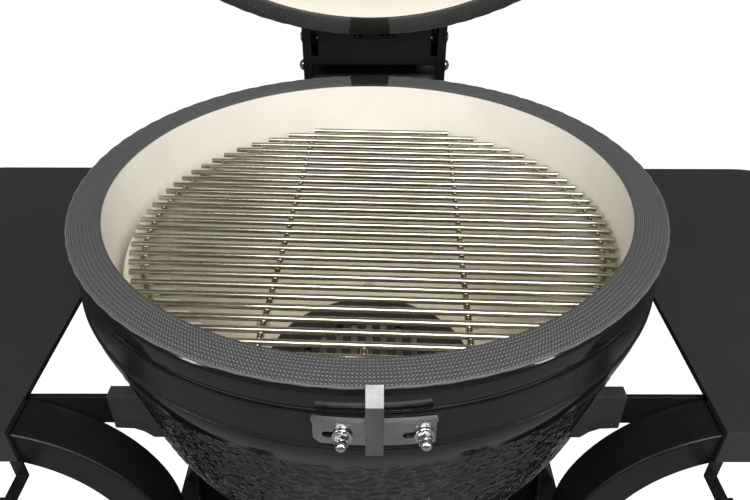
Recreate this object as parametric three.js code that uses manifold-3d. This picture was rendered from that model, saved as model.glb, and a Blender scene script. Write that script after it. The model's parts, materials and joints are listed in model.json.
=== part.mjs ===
// Kamado ceramic grill on a four-legged cart, lid open. Millimetres, +Z up, +Y to the back.
// Heights in the sub-part functions are taken from the rim of the base, radii from its axis.
import * as THREE from "three";
import { mergeVertices } from "three/addons/utils/BufferGeometryUtils.js";
import Module from "manifold-3d";

const wasm = await Module();
wasm.setup();

// Shell and gaskets
const RIM_HEIGHT = 815; // rim above the floor
const RIM_R = 270; // outside of the gasket
const MOUTH_R = 242; // inside of the ceramic wall at the rim
const GASKET_T = 2.4;
const CROWN = 1.5; // the gasket's face is this much higher in the middle
const LID_GAP = 3.8; // closed lid's gasket edge above the base gasket's edge
const DOME_H = 205; // height of the dome's ellipse
const DOME_START = 70;
const BAND_TOP = 27.6; // depth of the steel band below the rim, and the lid's the same above
const BAND_H = 30.4;
const BAND_T = 3;
const SEGMENTS = 32;
const FIT = 0.4; // gap kept between pieces that touch
const PATCH_HALF = 25; // half the length of the patch over each gasket's joint

// Hinge and lid opening
const HINGE_X = 6; // the hinge and the latch sit a little to the right of the axis
const LATCH_X = 5.5;
const PIVOT_Y = 317;
const PIVOT_Z = 36;
const OPEN_ANGLE = THREE.MathUtils.degToRad(54.4);
const HINGE_HALF = 92; // half the width of the hinge
const SHEET = 5; // hinge plate

// Fire ring, fire box and grates
const RING_TOP = -62.6;
const SEAM = -155;
const FIRE_FLOOR = -250;
const GRATE_TOP = -50;
const GRATE_R = 233;
const BAR_PITCH = 14.5;
const BAR_D = 6;
const GRATE_TURN = THREE.MathUtils.degToRad(-2.5);
const GRATE_SHIFT = 5; // the grate lies this far to the right in the bowl

// Cart
const SHELF_TOP = -100;
const SHELF_IN = 278;
const SHELF_OUT = 532;
const SHELF_FRONT = -221;
const SHELF_BACK = 210;
const SHELF_T = 2.5;
const BEAM_TOP = -103;
const BEAM_W = 40; // along Y
const BEAM_T = 32; // in the plane of the curve
const BEAM_R = 145; // upper curve of the leg
const BEAM_CX = 318;
const BEAM_END = 462; // outer end of a leg, under the shelf
const LEG_R = 919; // lower curve of the leg
const FOOT_Z = -680;
const LEG_Y = { front: -197, rear: 186 };
const ARM_Y = { front: -175.25, rear: 164.25 };
const ARM_HALF = 2.25; // half the thickness of an arm
const ARM_TOP = -108;
const ARM_H = 31;
const FLANGE = 35; // turned-down front and outer edges of a shelf
const RAIL_X = 297;
const TRAY_Z = -399;
const WHEEL_R = 34;

const finish = {
  glaze: { color: 0x24242a, roughness: 0.25, metalness: 0 },
  cream: { color: 0xe8e0cc, roughness: 0.7, metalness: 0 },
  felt: { color: 0x4b4c4e, roughness: 0.95, metalness: 0 },
  patch: { color: 0x1c1c1e, roughness: 0.8, metalness: 0 },
  black: { color: 0x1b1b1d, roughness: 0.45, metalness: 0.2 },
  shelf: { color: 0x3b3b3d, roughness: 0.5, metalness: 0.2 },
  steel: { color: 0xc8c8c6, roughness: 0.3, metalness: 1 },
  iron: { color: 0x2a2a2a, roughness: 0.8, metalness: 0.4 },
  rubber: { color: 0x38393c, roughness: 0.9, metalness: 0 },
  dial: { color: 0xd83a20, roughness: 0.5, metalness: 0 },
};

// ---- geometry helpers ----

function solid(geometry) {
  const bare = geometry.index ? geometry.toNonIndexed() : geometry.clone();
  bare.deleteAttribute("normal");
  bare.deleteAttribute("uv");
  const g = mergeVertices(bare, 1e-4);
  const vertProperties = new Float32Array(g.attributes.position.array);
  const triVerts = new Uint32Array(g.index.array);
  const made = new wasm.Manifold(new wasm.Mesh({ numProp: 3, vertProperties, triVerts }));
  if (made.volume() > 0) return made;
  for (let i = 0; i < triVerts.length; i += 3)
    [triVerts[i + 1], triVerts[i + 2]] = [triVerts[i + 2], triVerts[i + 1]];
  return new wasm.Manifold(new wasm.Mesh({ numProp: 3, vertProperties, triVerts }));
}

function geometryOf(manifold) {
  const mesh = manifold.getMesh();
  const g = new THREE.BufferGeometry();
  g.setAttribute("position", new THREE.BufferAttribute(mesh.vertProperties, 3));
  g.setIndex(new THREE.BufferAttribute(mesh.triVerts, 1));
  return g;
}

function join(...parts) {
  return parts.reduce((all, part) => all.add(part));
}

function box(x0, x1, y0, y1, z0, z1) {
  const g = new THREE.BoxGeometry(x1 - x0, y1 - y0, z1 - z0);
  return solid(g.translate((x0 + x1) / 2, (y0 + y1) / 2, (z0 + z1) / 2));
}

// Turns a profile of [radius, height] points about the vertical axis.
function revolve(profile, segments = SEGMENTS) {
  const points = profile.map(([r, z]) => new THREE.Vector2(r, z));
  const onAxis = profile[0][0] === 0 && profile.at(-1)[0] === 0;
  if (!onAxis) points.push(points[0].clone());
  return solid(new THREE.LatheGeometry(points, segments).rotateX(Math.PI / 2));
}

function rod(radius, from, to, segments = 12) {
  const a = new THREE.Vector3(...from);
  const b = new THREE.Vector3(...to);
  const g = new THREE.CylinderGeometry(radius, radius, a.distanceTo(b), segments);
  const turn = new THREE.Quaternion();
  turn.setFromUnitVectors(new THREE.Vector3(0, 1, 0), b.clone().sub(a).normalize());
  const middle = a.add(b).multiplyScalar(0.5);
  return solid(g.applyQuaternion(turn).translate(middle.x, middle.y, middle.z));
}

function ring(radius, thickness, z) {
  return solid(new THREE.TorusGeometry(radius, thickness, 4, SEGMENTS).translate(0, 0, z));
}

// An outline given in X and Z, made thick along Y from y0 to y1.
function slabXZ(outline, y0, y1, curveSegments = 16) {
  const shape = Array.isArray(outline)
    ? new THREE.Shape(outline.map(([x, z]) => new THREE.Vector2(x, z)))
    : outline;
  const g = new THREE.ExtrudeGeometry(shape, {
    depth: y1 - y0,
    bevelEnabled: false,
    curveSegments,
  });
  return solid(g.rotateX(Math.PI / 2).translate(0, y1, 0));
}

// An outline given in Y and Z, made thick along X from x0 to x1.
function slabYZ(outline, x0, x1) {
  const shape = new THREE.Shape(outline.map(([y, z]) => new THREE.Vector2(y, z)));
  const g = new THREE.ExtrudeGeometry(shape, { depth: x1 - x0, bevelEnabled: false });
  return solid(g.rotateX(Math.PI / 2).rotateZ(Math.PI / 2).translate(x0, 0, 0));
}

function smooth(points, count) {
  const curve = new THREE.SplineCurve(points.map(([r, z]) => new THREE.Vector2(r, z)));
  return curve.getPoints(count).map((p) => [p.x, p.y]);
}

function turned(manifold, degrees) {
  return manifold.rotate([0, 0, degrees]);
}

// ---- base: shell, band, gasket ----

const eggOutside = (grow = 0) =>
  smooth(
    [[264.5, -84], [257, -118], [250, -150], [240, -195], [221, -245], [194, -295], [163, -340],
      [128, -380]],
    7,
  ).map(([r, z]) => [r + grow, z]);

const eggInside = smooth(
  [[118, -360], [140, -336], [168, -295], [195, -245], [214, -195], [230, -130], [241, -62]],
  6,
);

const DRAFT = { x0: -80, x1: 0, z0: -362, z1: -322 };

function draftOpening(grow = 0) {
  const { x0, x1, z0, z1 } = DRAFT;
  return box(x0 - grow, x1 + grow, -300, -60, z0 - grow, z1 + grow);
}

function shellOutside(grow) {
  return revolve([[0, -27], [269 + grow, -27], [269 + grow, -70], ...eggOutside(grow),
    [100 + grow, -398 - grow], [0, -398 - grow]]);
}

function baseShell() {
  const seat = RIM_R - 1 - BAND_T;
  const profile = [
    [0, -398], [100, -398], ...eggOutside().reverse(),
    [268.6, -70], [269, -BAND_TOP - BAND_H - 2], [seat, -BAND_TOP - BAND_H], [seat, -BAND_TOP],
    [267.5, 1.5 - BAND_TOP], [269, 3 - BAND_TOP],
    [269, -9], [267, -5], [262, -GASKET_T], [MOUTH_R, -GASKET_T],
    ...eggInside.slice().reverse(), [104.5, -372], [0, -372],
  ];
  return revolve(profile).subtract(draftOpening());
}

function band() {
  const inner = RIM_R - 1 - BAND_T + FIT;
  const outer = inner + BAND_T;
  const top = -BAND_TOP - FIT;
  const bottom = -BAND_TOP - BAND_H + FIT;
  return revolve([[inner, top], [outer, top], [outer, bottom + 4], [outer + 1.6, bottom],
    [inner, bottom]]);
}

// The gasket is pressed down at the back, where the patch lies over its joint.
function gasket() {
  const low = -GASKET_T + FIT;
  const felt = revolve([
    [MOUTH_R, low], [RIM_R, low], [RIM_R, -1], [RIM_R - 3, 0.6], [RIM_R - 14, CROWN],
    [MOUTH_R + 3, 0.6], [MOUTH_R, -1],
  ]);
  const bed = revolve([[MOUTH_R + 1, -0.6], [RIM_R - 1, -0.6], [RIM_R - 1, 5], [MOUTH_R + 1, 5]]);
  return felt.subtract(bed.intersect(atBack(PATCH_HALF + FIT)));
}

function atBack(half) {
  return box(-half, half, 200, 280, -5, 10);
}

function gasketPatch() {
  const inner = MOUTH_R + 1 + FIT;
  const outer = RIM_R - 1 - FIT;
  const low = -0.6 + FIT;
  const strip = revolve([[inner, low], [outer, low], [outer, 0.8], [RIM_R - 14, CROWN + 0.2],
    [inner, 0.8]]);
  return strip.intersect(atBack(PATCH_HALF));
}

// ---- fire ring, fire box and grates ----

function fireRing() {
  return revolve([[184, SEAM + FIT], [217, SEAM + FIT], [229, -110], [236, RING_TOP],
    [197, RING_TOP], [193, RING_TOP - 3]]);
}

function fireBox() {
  const wall = [[217, SEAM], [206, -195], [184, -250], [166, -275], [100, -285]];
  const foot = [[100, -371.6], [84, -371.6], [84, -285], [82, -270]];
  const bowl = [[82, FIRE_FLOOR], [163, FIRE_FLOOR], [170, -236], [184, SEAM]];
  let box_ = revolve([...wall, ...foot, ...bowl]);
  for (let i = 0; i < 6; i += 1) {
    const hole = rod(9, [153, 0, -290], [153, 0, -240], 8);
    box_ = box_.subtract(turned(hole, 30 + 60 * i));
  }
  return box_.subtract(draftOpening(3));
}

function charcoalGrate() {
  const low = FIRE_FLOOR + FIT;
  let plate = revolve([[0, low], [118, low], [118, low + 8], [0, low + 8]]);
  for (let i = -4; i <= 4; i += 1) {
    const half = Math.sqrt(78 ** 2 - (i * 18) ** 2);
    plate = plate.subtract(box(i * 18 - 4, i * 18 + 4, -half, half, low - 5, low + 12));
  }
  return plate;
}

function cookingGrate() {
  const r = BAR_D / 2;
  const z = GRATE_TOP - r;
  const under = z - BAR_D + 0.6;
  const cross = under - 0.7;
  let grate = ring(GRATE_R - 11, r, under);
  for (let i = -15; i <= 15; i += 1) {
    const y = i * BAR_PITCH;
    const half = Math.sqrt(GRATE_R ** 2 - y ** 2);
    grate = grate.add(rod(r, [-half, y, z], [half, y, z], 4));
  }
  for (const x of [-85, 85]) {
    const half = Math.sqrt((GRATE_R - 11) ** 2 - x ** 2);
    grate = grate.add(rod(r, [x, -half, cross], [x, half, cross], 4));
  }
  return grate.add(rod(r, [0, 11 - GRATE_R, cross], [0, -172, cross], 4));
}

// ---- latch ----

const LATCH_R = RIM_R + 2.8; // back of the bracket
const PIN = { y: -278.4, z: -44 };

// Curved plate bent forward at the top, with a slot for each cap nut and two lugs for the pin.
function latchBracket() {
  const back = LATCH_R;
  const face = LATCH_R + 2.5;
  const bent = revolve([[back, -48.4], [face, -48.4], [face, -24.4], [face + 3.5, -24.4],
    [face + 3.5, -22.6], [back, -22.6]], 96);
  let plate = bent.intersect(box(-40.5, 40.5, -300, -200, -60, 0));
  for (const x of [-25.5, 27.5]) {
    plate = plate.subtract(box(x - 9, x + 9, -300, -200, -42, -36.5));
  }
  const lug = (x) => box(x - 0.9, x + 0.9, PIN.y - 1.7, -face + 0.5, PIN.z - 1.7, PIN.z + 1.7);
  const pin = rod(1.2, [-4.5, PIN.y, PIN.z], [4.5, PIN.y, PIN.z], 8);
  return join(plate, lug(-4.4), lug(4.4), pin).translate([LATCH_X, 0, 0]);
}

// The strap that holds the closed lid: it turns on the bracket's pin and leans over the gasket.
function latchStrap() {
  const back = PIN.y - 2.6;
  const front = back - 2;
  const outline = [[front, -49.5], [back, -49.5], [back, -6], [-271.2, 4.6], [-272.6, 6],
    [front, -5.2]];
  const tab = rod(2.5, [-3, PIN.y, PIN.z], [3, PIN.y, PIN.z], 12)
    .add(box(-3, 3, back - 0.5, PIN.y, PIN.z - 2.5, PIN.z + 2.5))
    .subtract(rod(1.65, [-5, PIN.y, PIN.z], [5, PIN.y, PIN.z], 12));
  return join(slabYZ(outline, -5.9, 5.9), tab).translate([LATCH_X, 0, 0]);
}

function capNut(x) {
  const washer = [[0, 0], [5.6, 0], [5.6, 1.2]];
  const hex = [[4.6, 1.2], [4.6, 5.2], [4.2, 5.8], [3.9, 9], [2.6, 11], [0, 11.8]];
  const nut = revolve([...washer, ...hex], 12).rotate([90, 0, 0]);
  const face = LATCH_R + 2.5;
  const azimuth = THREE.MathUtils.radToDeg(Math.asin(x / face));
  return turned(nut.translate([0, -face - FIT, -39.5]), azimuth).translate([LATCH_X, 0, 0]);
}

// ---- hinge ----

// The brackets on the bands are curved to lie against them.
function bandClear() {
  return revolve([[0, -80], [271.8, -80], [271.8, 90], [0, 90]], 96);
}

function hingeBaseBracket() {
  const cheek = [[274, -72], [300, -72], [340, -8], [340, 62], [301, 74], [301, -12], [274, -34]];
  const back = slabXZ([[-HINGE_HALF, -72], [HINGE_HALF, -72], [HINGE_HALF, -34], [-HINGE_HALF, -34]],
    262, 279);
  const panel = slabXZ([[-HINGE_HALF, 7], [HINGE_HALF, 7], [HINGE_HALF, 18], [72, 18], [72, 54],
    [32, 54], [25, 41], [-25, 41], [-32, 54], [-72, 54], [-72, 18], [-HINGE_HALF, 18]], 293, 296);
  const cover = slabYZ([[335, 60], [338, 60], [338, -10], [324, -33], [321, -31.5], [335, -9]],
    -HINGE_HALF, HINGE_HALF);
  const side = (s) => {
    const x0 = s > 0 ? HINGE_HALF - SHEET : -HINGE_HALF;
    const flange = s > 0 ? [HINGE_HALF - 11, HINGE_HALF] : [-HINGE_HALF, 11 - HINGE_HALF];
    return slabYZ(cheek, x0, x0 + SHEET).add(box(...flange, 292, 301.5, -14, 74));
  };
  const bore = rod(6.6, [-120, PIVOT_Y, PIVOT_Z], [120, PIVOT_Y, PIVOT_Z]);
  const bracket = join(side(-1), side(1), back, panel, cover).subtract(bore);
  return bracket.translate([HINGE_X, 0, 0]).subtract(bandClear());
}

function hingeRod() {
  const ends = HINGE_HALF + 0.5;
  const shaft = rod(6, [-ends, PIVOT_Y, PIVOT_Z], [ends, PIVOT_Y, PIVOT_Z], 12);
  const head = (s) => {
    const dome = revolve([[0, 0], [7.4, 0], [7.4, 2], [4.5, 3.6], [0, 4]], 12);
    return dome.rotate([0, 90 * s, 0]).translate([s * ends, PIVOT_Y, PIVOT_Z]);
  };
  return join(shaft, head(-1), head(1)).translate([HINGE_X, 0, 0]);
}

function hingeSpring() {
  class Helix extends THREE.Curve {
    getPoint(t) {
      const turn = t * 2 * Math.PI * 7;
      const x = THREE.MathUtils.lerp(-30, 30, t);
      return new THREE.Vector3(HINGE_X + x, PIVOT_Y + 10 * Math.cos(turn), PIVOT_Z + 10 * Math.sin(turn));
    }
  }
  const wire = new THREE.Shape().absarc(0, 0, 2.2, 0, 2 * Math.PI);
  const options = { steps: 56, curveSegments: 3, extrudePath: new Helix() };
  return solid(new THREE.ExtrudeGeometry(wire, options));
}

function hingeBolt(s) {
  const dome = revolve([[0, 0], [7.5, 0], [7.5, 2], [5, 5.5], [0, 7]], 12);
  return dome.rotate([0, 90 * s, 0]).translate([HINGE_X + s * (HINGE_HALF + FIT), 312, 0]);
}

// ---- lid, drawn closed ----

function domeArc(a, b, z0, from, to, count) {
  return Array.from({ length: count + 1 }, (_, i) => {
    const t = THREE.MathUtils.degToRad(THREE.MathUtils.lerp(from, to, i / count));
    return [a * Math.cos(t), z0 + b * Math.sin(t)];
  });
}

const LID_RIM = LID_GAP + GASKET_T;

function lidDome() {
  const seat = RIM_R - 1 - BAND_T;
  const top = domeArc(268, DOME_H, DOME_START, 4, 76, 8);
  const under = domeArc(241, DOME_H - 24, DOME_START, 76.5, 0, 7);
  const profile = [[MOUTH_R, LID_RIM], [262, LID_RIM], [267, LID_GAP + 5], [269, LID_GAP + 9],
    [269, BAND_TOP],
    [seat, BAND_TOP + LID_GAP], [seat, BAND_TOP + LID_GAP + BAND_H], [268, BAND_TOP + BAND_H + 8],
    ...top, ...under];
  const dome = revolve(profile);
  return dome.subtract(probeHole());
}

function lidBand() {
  return band().mirror([0, 0, 1]).translate([0, 0, LID_GAP]);
}

function lidGasket() {
  return gasket().mirror([0, 0, 1]).translate([0, 0, LID_GAP]);
}

function lidGasketPatch() {
  return gasketPatch().mirror([0, 0, 1]).translate([0, 0, LID_GAP]);
}

function hingeLidBracket() {
  const x1 = HINGE_HALF - 11.6; // inside the flanges of the cheeks
  const arm = [[276, 36], [304, 24], [317, 24], [329, 31], [329, 42], [318, 50], [290, 74], [276, 74]];
  const side = (s) => {
    const x0 = s > 0 ? x1 - SHEET : -x1;
    return slabYZ(arm, x0, x0 + SHEET);
  };
  const plate = box(-x1, x1, 255, 281, 37, 74);
  const bore = rod(6.6, [-120, PIVOT_Y, PIVOT_Z], [120, PIVOT_Y, PIVOT_Z]);
  const bracket = join(side(-1), side(1), plate).subtract(bore);
  return bracket.translate([HINGE_X, 0, 0]).subtract(bandClear());
}

const GRIP = { y: -338, z: 52, r: 15, half: 150 };

function handleBracket(s) {
  const azimuth = 24;
  const pad = box(-22, 22, -279, -260, 36, 70)
    .subtract(revolve([[0, 0], [272.4, 0], [272.4, 90], [0, 90]], 96));
  const foot = turned(pad, azimuth * s);
  const x = Math.sin(THREE.MathUtils.degToRad(azimuth)) * 276 * s;
  const arm = slabYZ([[-246, 40], [-246, 68], [-322, 64], [GRIP.y - 8, 70], [GRIP.y - 18, 58],
    [GRIP.y - 18, 44], [GRIP.y - 8, 34], [-322, 40]], x - 5, x + 5)
    .subtract(revolve([[0, 0], [275.4, 0], [275.4, 90], [0, 90]], 96));
  const eye = rod(GRIP.r + FIT, [x - 30, GRIP.y, GRIP.z], [x + 30, GRIP.y, GRIP.z], 20);
  return join(foot, arm).subtract(eye);
}

function handleGrip() {
  return rod(GRIP.r, [-GRIP.half, GRIP.y, GRIP.z], [GRIP.half, GRIP.y, GRIP.z], 20);
}

function ventCollar() {
  let collar = revolve([[47, 262], [55, 262], [55, 274], [80, 266], [84, 271], [63, 280], [63, 302],
    [66, 304], [66, 308], [0, 308], [0, 304], [47, 304]].reverse(), 28);
  for (let i = 0; i < 5; i += 1) collar = collar.subtract(turned(petal(300, 312), 72 * i));
  return collar;
}

function petal(z0, z1) {
  return rod(11, [31, 0, z0], [31, 0, z1], 10);
}

function ventDisc() {
  const disc = revolve([[0, 308.5], [64, 308.5], [66, 310], [66, 312], [62, 313.5], [13, 313.5],
    [11, 316], [11, 324], [8, 327], [0, 328]], 28);
  let wheel = disc.add(box(60, 84, -6, 6, 309.5, 313.5));
  for (let i = 0; i < 5; i += 1) wheel = wheel.subtract(turned(petal(305, 316), 72 * i));
  return wheel;
}

// ---- thermometer, drawn along +Z from the dome's surface ----

const GAUGE_T = THREE.MathUtils.degToRad(28);
const GAUGE = {
  y: -268 * Math.cos(GAUGE_T),
  z: DOME_START + DOME_H * Math.sin(GAUGE_T),
  tilt: Math.atan2(Math.cos(GAUGE_T) / 268, Math.sin(GAUGE_T) / DOME_H),
};

function onDome(manifold) {
  return manifold.rotate([THREE.MathUtils.radToDeg(GAUGE.tilt), 0, 0]).translate([0, GAUGE.y, GAUGE.z]);
}

function probeHole() {
  return onDome(rod(5, [0, 0, -60], [0, 0, 20], 12));
}

function thermometerCase() {
  return onDome(revolve([[0, -70], [3, -70], [3.5, 0.6], [33, 0.6], [35, 3], [36, 14], [34, 16],
    [31, 14.5], [30.5, 4], [0, 4]], 24));
}

function thermometerNeedle() {
  const hub = revolve([[0, 4.4], [4, 4.4], [4, 6.4], [0, 6.4]], 12);
  const pointer = new THREE.Shape([new THREE.Vector2(-1.6, -9), new THREE.Vector2(1.6, -9),
    new THREE.Vector2(0.5, 26), new THREE.Vector2(-0.5, 26)]);
  const g = new THREE.ExtrudeGeometry(pointer, { depth: 1, bevelEnabled: false });
  return onDome(hub.add(solid(g.translate(0, 0, 5))).rotate([0, 0, 135]));
}

// ---- draft door ----

const DOOR_Y = -206;

function draftFrame() {
  const mouth = box(-92, 92, DOOR_Y, -110, -373, -309).subtract(shellOutside(FIT));
  const hollow = box(-86, 86, -190, -110, -367, -315);
  const rails = join(
    box(-92, 92, DOOR_Y - 5, DOOR_Y + 1, -373, -367),
    box(-92, 92, DOOR_Y - 5, DOOR_Y - 3.2, -373, -363),
    box(-92, 92, DOOR_Y - 5, DOOR_Y + 1, -315, -309),
    box(-92, 92, DOOR_Y - 5, DOOR_Y - 3.2, -319, -309),
  );
  return mouth.subtract(hollow).subtract(draftOpening()).add(rails);
}

function draftDoor() {
  const knob = revolve([[0, 0], [4, 0], [4, 6], [8, 8], [8, 12], [6, 14], [0, 14]], 12);
  return join(
    box(-84, 4, DOOR_Y - 2.7, DOOR_Y - FIT, -366.5, -315.5),
    knob.rotate([90, 0, 0]).translate([-12, DOOR_Y - 2.5, -341]),
  );
}

function draftScreen() {
  let plate = box(-85.5, 5, -189.5, -187.5, -366.5, -315.5);
  for (let i = 0; i < 9; i += 1) {
    const x = -76 + 9 * i;
    plate = plate.subtract(box(x - 2, x + 2, -195, -180, -360, -322));
  }
  return plate;
}

// ---- cart ----

// A leg: box section that runs level under the shelf, curves in towards the bowl and out to the foot.
function legOutline(grow = 0) {
  const top = BEAM_TOP - BEAM_R;
  const outer = BEAM_R + grow;
  const inner = BEAM_R - BEAM_T - grow;
  const lowX = BEAM_CX - BEAM_R + LEG_R;
  const outAngle = Math.asin((top - FOOT_Z) / (LEG_R - BEAM_T - grow));
  const inAngle = Math.asin((top - FOOT_Z) / (LEG_R + grow));
  const shape = new THREE.Shape();
  shape.moveTo(BEAM_END, BEAM_TOP + grow);
  shape.lineTo(BEAM_CX, BEAM_TOP + grow);
  shape.absarc(BEAM_CX, top, outer, Math.PI / 2, Math.PI, false);
  shape.absarc(lowX, top, LEG_R + grow, Math.PI, Math.PI + inAngle, false);
  shape.absarc(lowX, top, LEG_R - BEAM_T - grow, Math.PI + outAngle, Math.PI, true);
  shape.absarc(BEAM_CX, top, inner, Math.PI, Math.PI / 2, true);
  shape.lineTo(BEAM_END, BEAM_TOP - BEAM_T - grow);
  return shape;
}

function leg(sx, place, grow = 0) {
  const y = LEG_Y[place];
  let beam = slabXZ(legOutline(grow), y - BEAM_W / 2 - grow, y + BEAM_W / 2 + grow, 6);
  if (!grow) beam = beam.add(arm(place));
  return sx < 0 ? beam.mirror([1, 0, 0]) : beam;
}

function arm(place) {
  const y = ARM_Y[place];
  return box(205, 330, y - ARM_HALF, y + ARM_HALF, ARM_TOP - ARM_H, ARM_TOP);
}

function pad(sx, place) {
  const y = ARM_Y[place];
  const boot = slabXZ([[213.6, -103], [213.6, -141], [198, -142], [190, -146], [183, -153],
    [160, -153], [160, -103]], y - 6, y + 6);
  const half = ARM_HALF + FIT;
  const pocket = box(205 - FIT, 330, y - half, y + half, ARM_TOP - ARM_H - FIT, ARM_TOP + FIT);
  const made = boot.subtract(shellOutside(FIT)).subtract(pocket);
  return sx < 0 ? made.mirror([1, 0, 0]) : made;
}

// Round tray that the bowl stands on, with four tongues out to the legs.
function cradle() {
  let tray = revolve([[0, TRAY_Z - 4], [215, TRAY_Z - 4], [215, TRAY_Z + 22], [211, TRAY_Z + 22],
    [211, TRAY_Z], [0, TRAY_Z]]);
  for (const sx of [-1, 1]) {
    for (const place of ["front", "rear"]) {
      const angle = THREE.MathUtils.radToDeg(Math.atan2(LEG_Y[place], sx * 200));
      tray = tray.add(turned(box(208, 278, -14, 14, TRAY_Z - 4, TRAY_Z), angle));
      tray = tray.subtract(leg(sx, place, FIT));
    }
  }
  return tray.decompose().sort((a, b) => b.volume() - a.volume())[0];
}

function sideRail(sx) {
  return box(sx * RAIL_X - 22, sx * RAIL_X + 22, -245, 234, FOOT_Z - 40, FOOT_Z - FIT);
}

function crossRail(place) {
  const y = LEG_Y[place];
  const end = RAIL_X - 22 - FIT;
  return box(-end, end, y - 15, y + 15, FOOT_Z - 37, FOOT_Z - 7);
}

function shelfOutline(inset) {
  const corner = 64 - inset;
  const x0 = SHELF_IN + inset;
  const x1 = SHELF_OUT - inset;
  const y0 = SHELF_FRONT + inset;
  const y1 = SHELF_BACK - inset;
  const shape = new THREE.Shape();
  shape.moveTo(x0, y0);
  shape.lineTo(x1 - 12, y0);
  shape.absarc(x1 - 12, y0 + 12, 12, -Math.PI / 2, 0, false);
  shape.lineTo(x1, y1 - corner);
  shape.absarc(x1 - corner, y1 - corner, corner, 0, Math.PI / 2, false);
  shape.lineTo(x0, y1);
  return shape;
}

function plateXY(shape, z0, z1) {
  const g = new THREE.ExtrudeGeometry(shape, {
    depth: z1 - z0,
    bevelEnabled: false,
    curveSegments: 5,
  });
  return solid(g.translate(0, 0, z0));
}

// Folded sheet shelf: a flat top and a turned-down edge, low along the side by the bowl.
function shelf(sx) {
  const low = SHELF_TOP - FLANGE;
  const full = plateXY(shelfOutline(0), low, SHELF_TOP);
  const inside = plateXY(shelfOutline(SHELF_T), low - 1, SHELF_TOP - SHELF_T);
  const shallow = box(SHELF_IN - 5, SHELF_IN + 20, SHELF_FRONT + 3.5, SHELF_BACK - 3,
    low - 1, -106);
  const notch = box(SHELF_IN - 5, SHELF_IN + 20, -184, -176, low - 1, SHELF_TOP - SHELF_T);
  const made = full.subtract(inside).subtract(shallow).subtract(notch);
  return sx < 0 ? made.mirror([1, 0, 0]) : made;
}

// Tool hook: a strip below the shelf's front edge, bent forward with a turned-up lip.
function toolHook(sx) {
  const y = SHELF_FRONT;
  const top = SHELF_TOP - FLANGE - FIT;
  const outline = [[y + 2.5, top], [y + 2.5, -155], [y - 27, -155], [y - 27, -146], [y - 24.5, -146],
    [y - 24.5, -152.5], [y, -152.5], [y, top]];
  return slabYZ(outline, sx * 280 - 5, sx * 280 + 5);
}

// ---- casters ----

const CASTER_TOP = FOOT_Z - 40 - FIT;
const AXLE_Z = WHEEL_R - RIM_HEIGHT;
const TRAIL = 22;

function casterFork() {
  const cheek = [[-TRAIL - 9, AXLE_Z - 6], [-TRAIL + 9, AXLE_Z - 6], [-TRAIL + 12, AXLE_Z + 8],
    [18, CASTER_TOP - 8], [18, CASTER_TOP - 5], [-26, CASTER_TOP - 5], [-TRAIL - 12, AXLE_Z + 8]];
  const cap = revolve([[0, CASTER_TOP - 5.5], [22, CASTER_TOP - 5.5], [22, CASTER_TOP - 2],
    [16, CASTER_TOP], [0, CASTER_TOP]], 10);
  return join(
    slabYZ(cheek, -18, -15), slabYZ(cheek, 15, 18), cap,
    box(-18, 18, -26, 18, CASTER_TOP - 8, CASTER_TOP - 5),
    rod(4, [-19.5, -TRAIL, AXLE_Z], [19.5, -TRAIL, AXLE_Z], 8),
  );
}

function casterWheel() {
  const r = WHEEL_R;
  const rim = [[4.4, -13], [9, -13], [r - 10, -9], [r - 8, -12], [r - 2, -11], [r, -6],
    [r, 6], [r - 2, 11], [r - 8, 12], [r - 10, 9], [9, 13], [4.4, 13]];
  return revolve(rim, 14).rotate([0, 90, 0]).translate([0, -TRAIL, AXLE_Z]);
}

// Brake pedal between the cheeks of a front caster, reaching out over the wheel.
function brakePedal() {
  const z = CASTER_TOP - 15;
  const side = [[-18, z - 4], [-30, z - 4], [-64, z - 14], [-68, z - 10], [-34, z + 4], [-18, z + 4]];
  return slabYZ(side, -13, 13);
}

// ---- assembly ----

const root = new THREE.Group();
const grill = new THREE.Group();
grill.position.z = RIM_HEIGHT;
root.add(grill);

const lid = new THREE.Group();
lid.position.set(0, PIVOT_Y, PIVOT_Z);
lid.rotation.x = -OPEN_ANGLE;
grill.add(lid);

function place(name, manifold, look, parent = grill) {
  const material = new THREE.MeshStandardMaterial(finish[look]);
  const mesh = new THREE.Mesh(geometryOf(manifold), material);
  mesh.name = name;
  if (parent === lid) mesh.position.set(0, -PIVOT_Y, -PIVOT_Z);
  parent.add(mesh);
  return mesh;
}

place("base_shell", baseShell(), "glaze");
place("base_band", band(), "black");
place("base_gasket", gasket(), "felt");
place("base_gasket_patch", gasketPatch(), "patch");
place("fire_ring", fireRing(), "cream");
place("fire_box", fireBox(), "cream");
place("charcoal_grate", charcoalGrate(), "iron");
const grate = place("cooking_grate", cookingGrate(), "steel");
grate.rotation.z = GRATE_TURN;
grate.position.x = GRATE_SHIFT;
place("latch_bracket", latchBracket(), "steel");
place("latch_strap", latchStrap(), "steel");
place("latch_nut_left", capNut(-21), "steel");
place("latch_nut_right", capNut(32.5), "steel");
place("hinge_base_bracket", hingeBaseBracket(), "black");
place("hinge_rod", hingeRod(), "steel");
place("hinge_spring", hingeSpring(), "iron");
place("hinge_bolt_left", hingeBolt(-1), "steel");
place("hinge_bolt_right", hingeBolt(1), "steel");
place("lid_dome", lidDome(), "glaze", lid);
place("lid_band", lidBand(), "black", lid);
place("lid_gasket", lidGasket(), "felt", lid);
place("lid_gasket_patch", lidGasketPatch(), "patch", lid);
place("hinge_lid_bracket", hingeLidBracket(), "black", lid);
place("handle_bracket_left", handleBracket(-1), "black", lid);
place("handle_bracket_right", handleBracket(1), "black", lid);
place("handle_grip", handleGrip(), "steel", lid);
place("vent_collar", ventCollar(), "iron", lid);
place("vent_disc", ventDisc(), "iron", lid);
place("thermometer_case", thermometerCase(), "steel", lid);
place("thermometer_needle", thermometerNeedle(), "dial", lid);
place("draft_frame", draftFrame(), "steel");
place("draft_door", draftDoor(), "steel");
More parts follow.
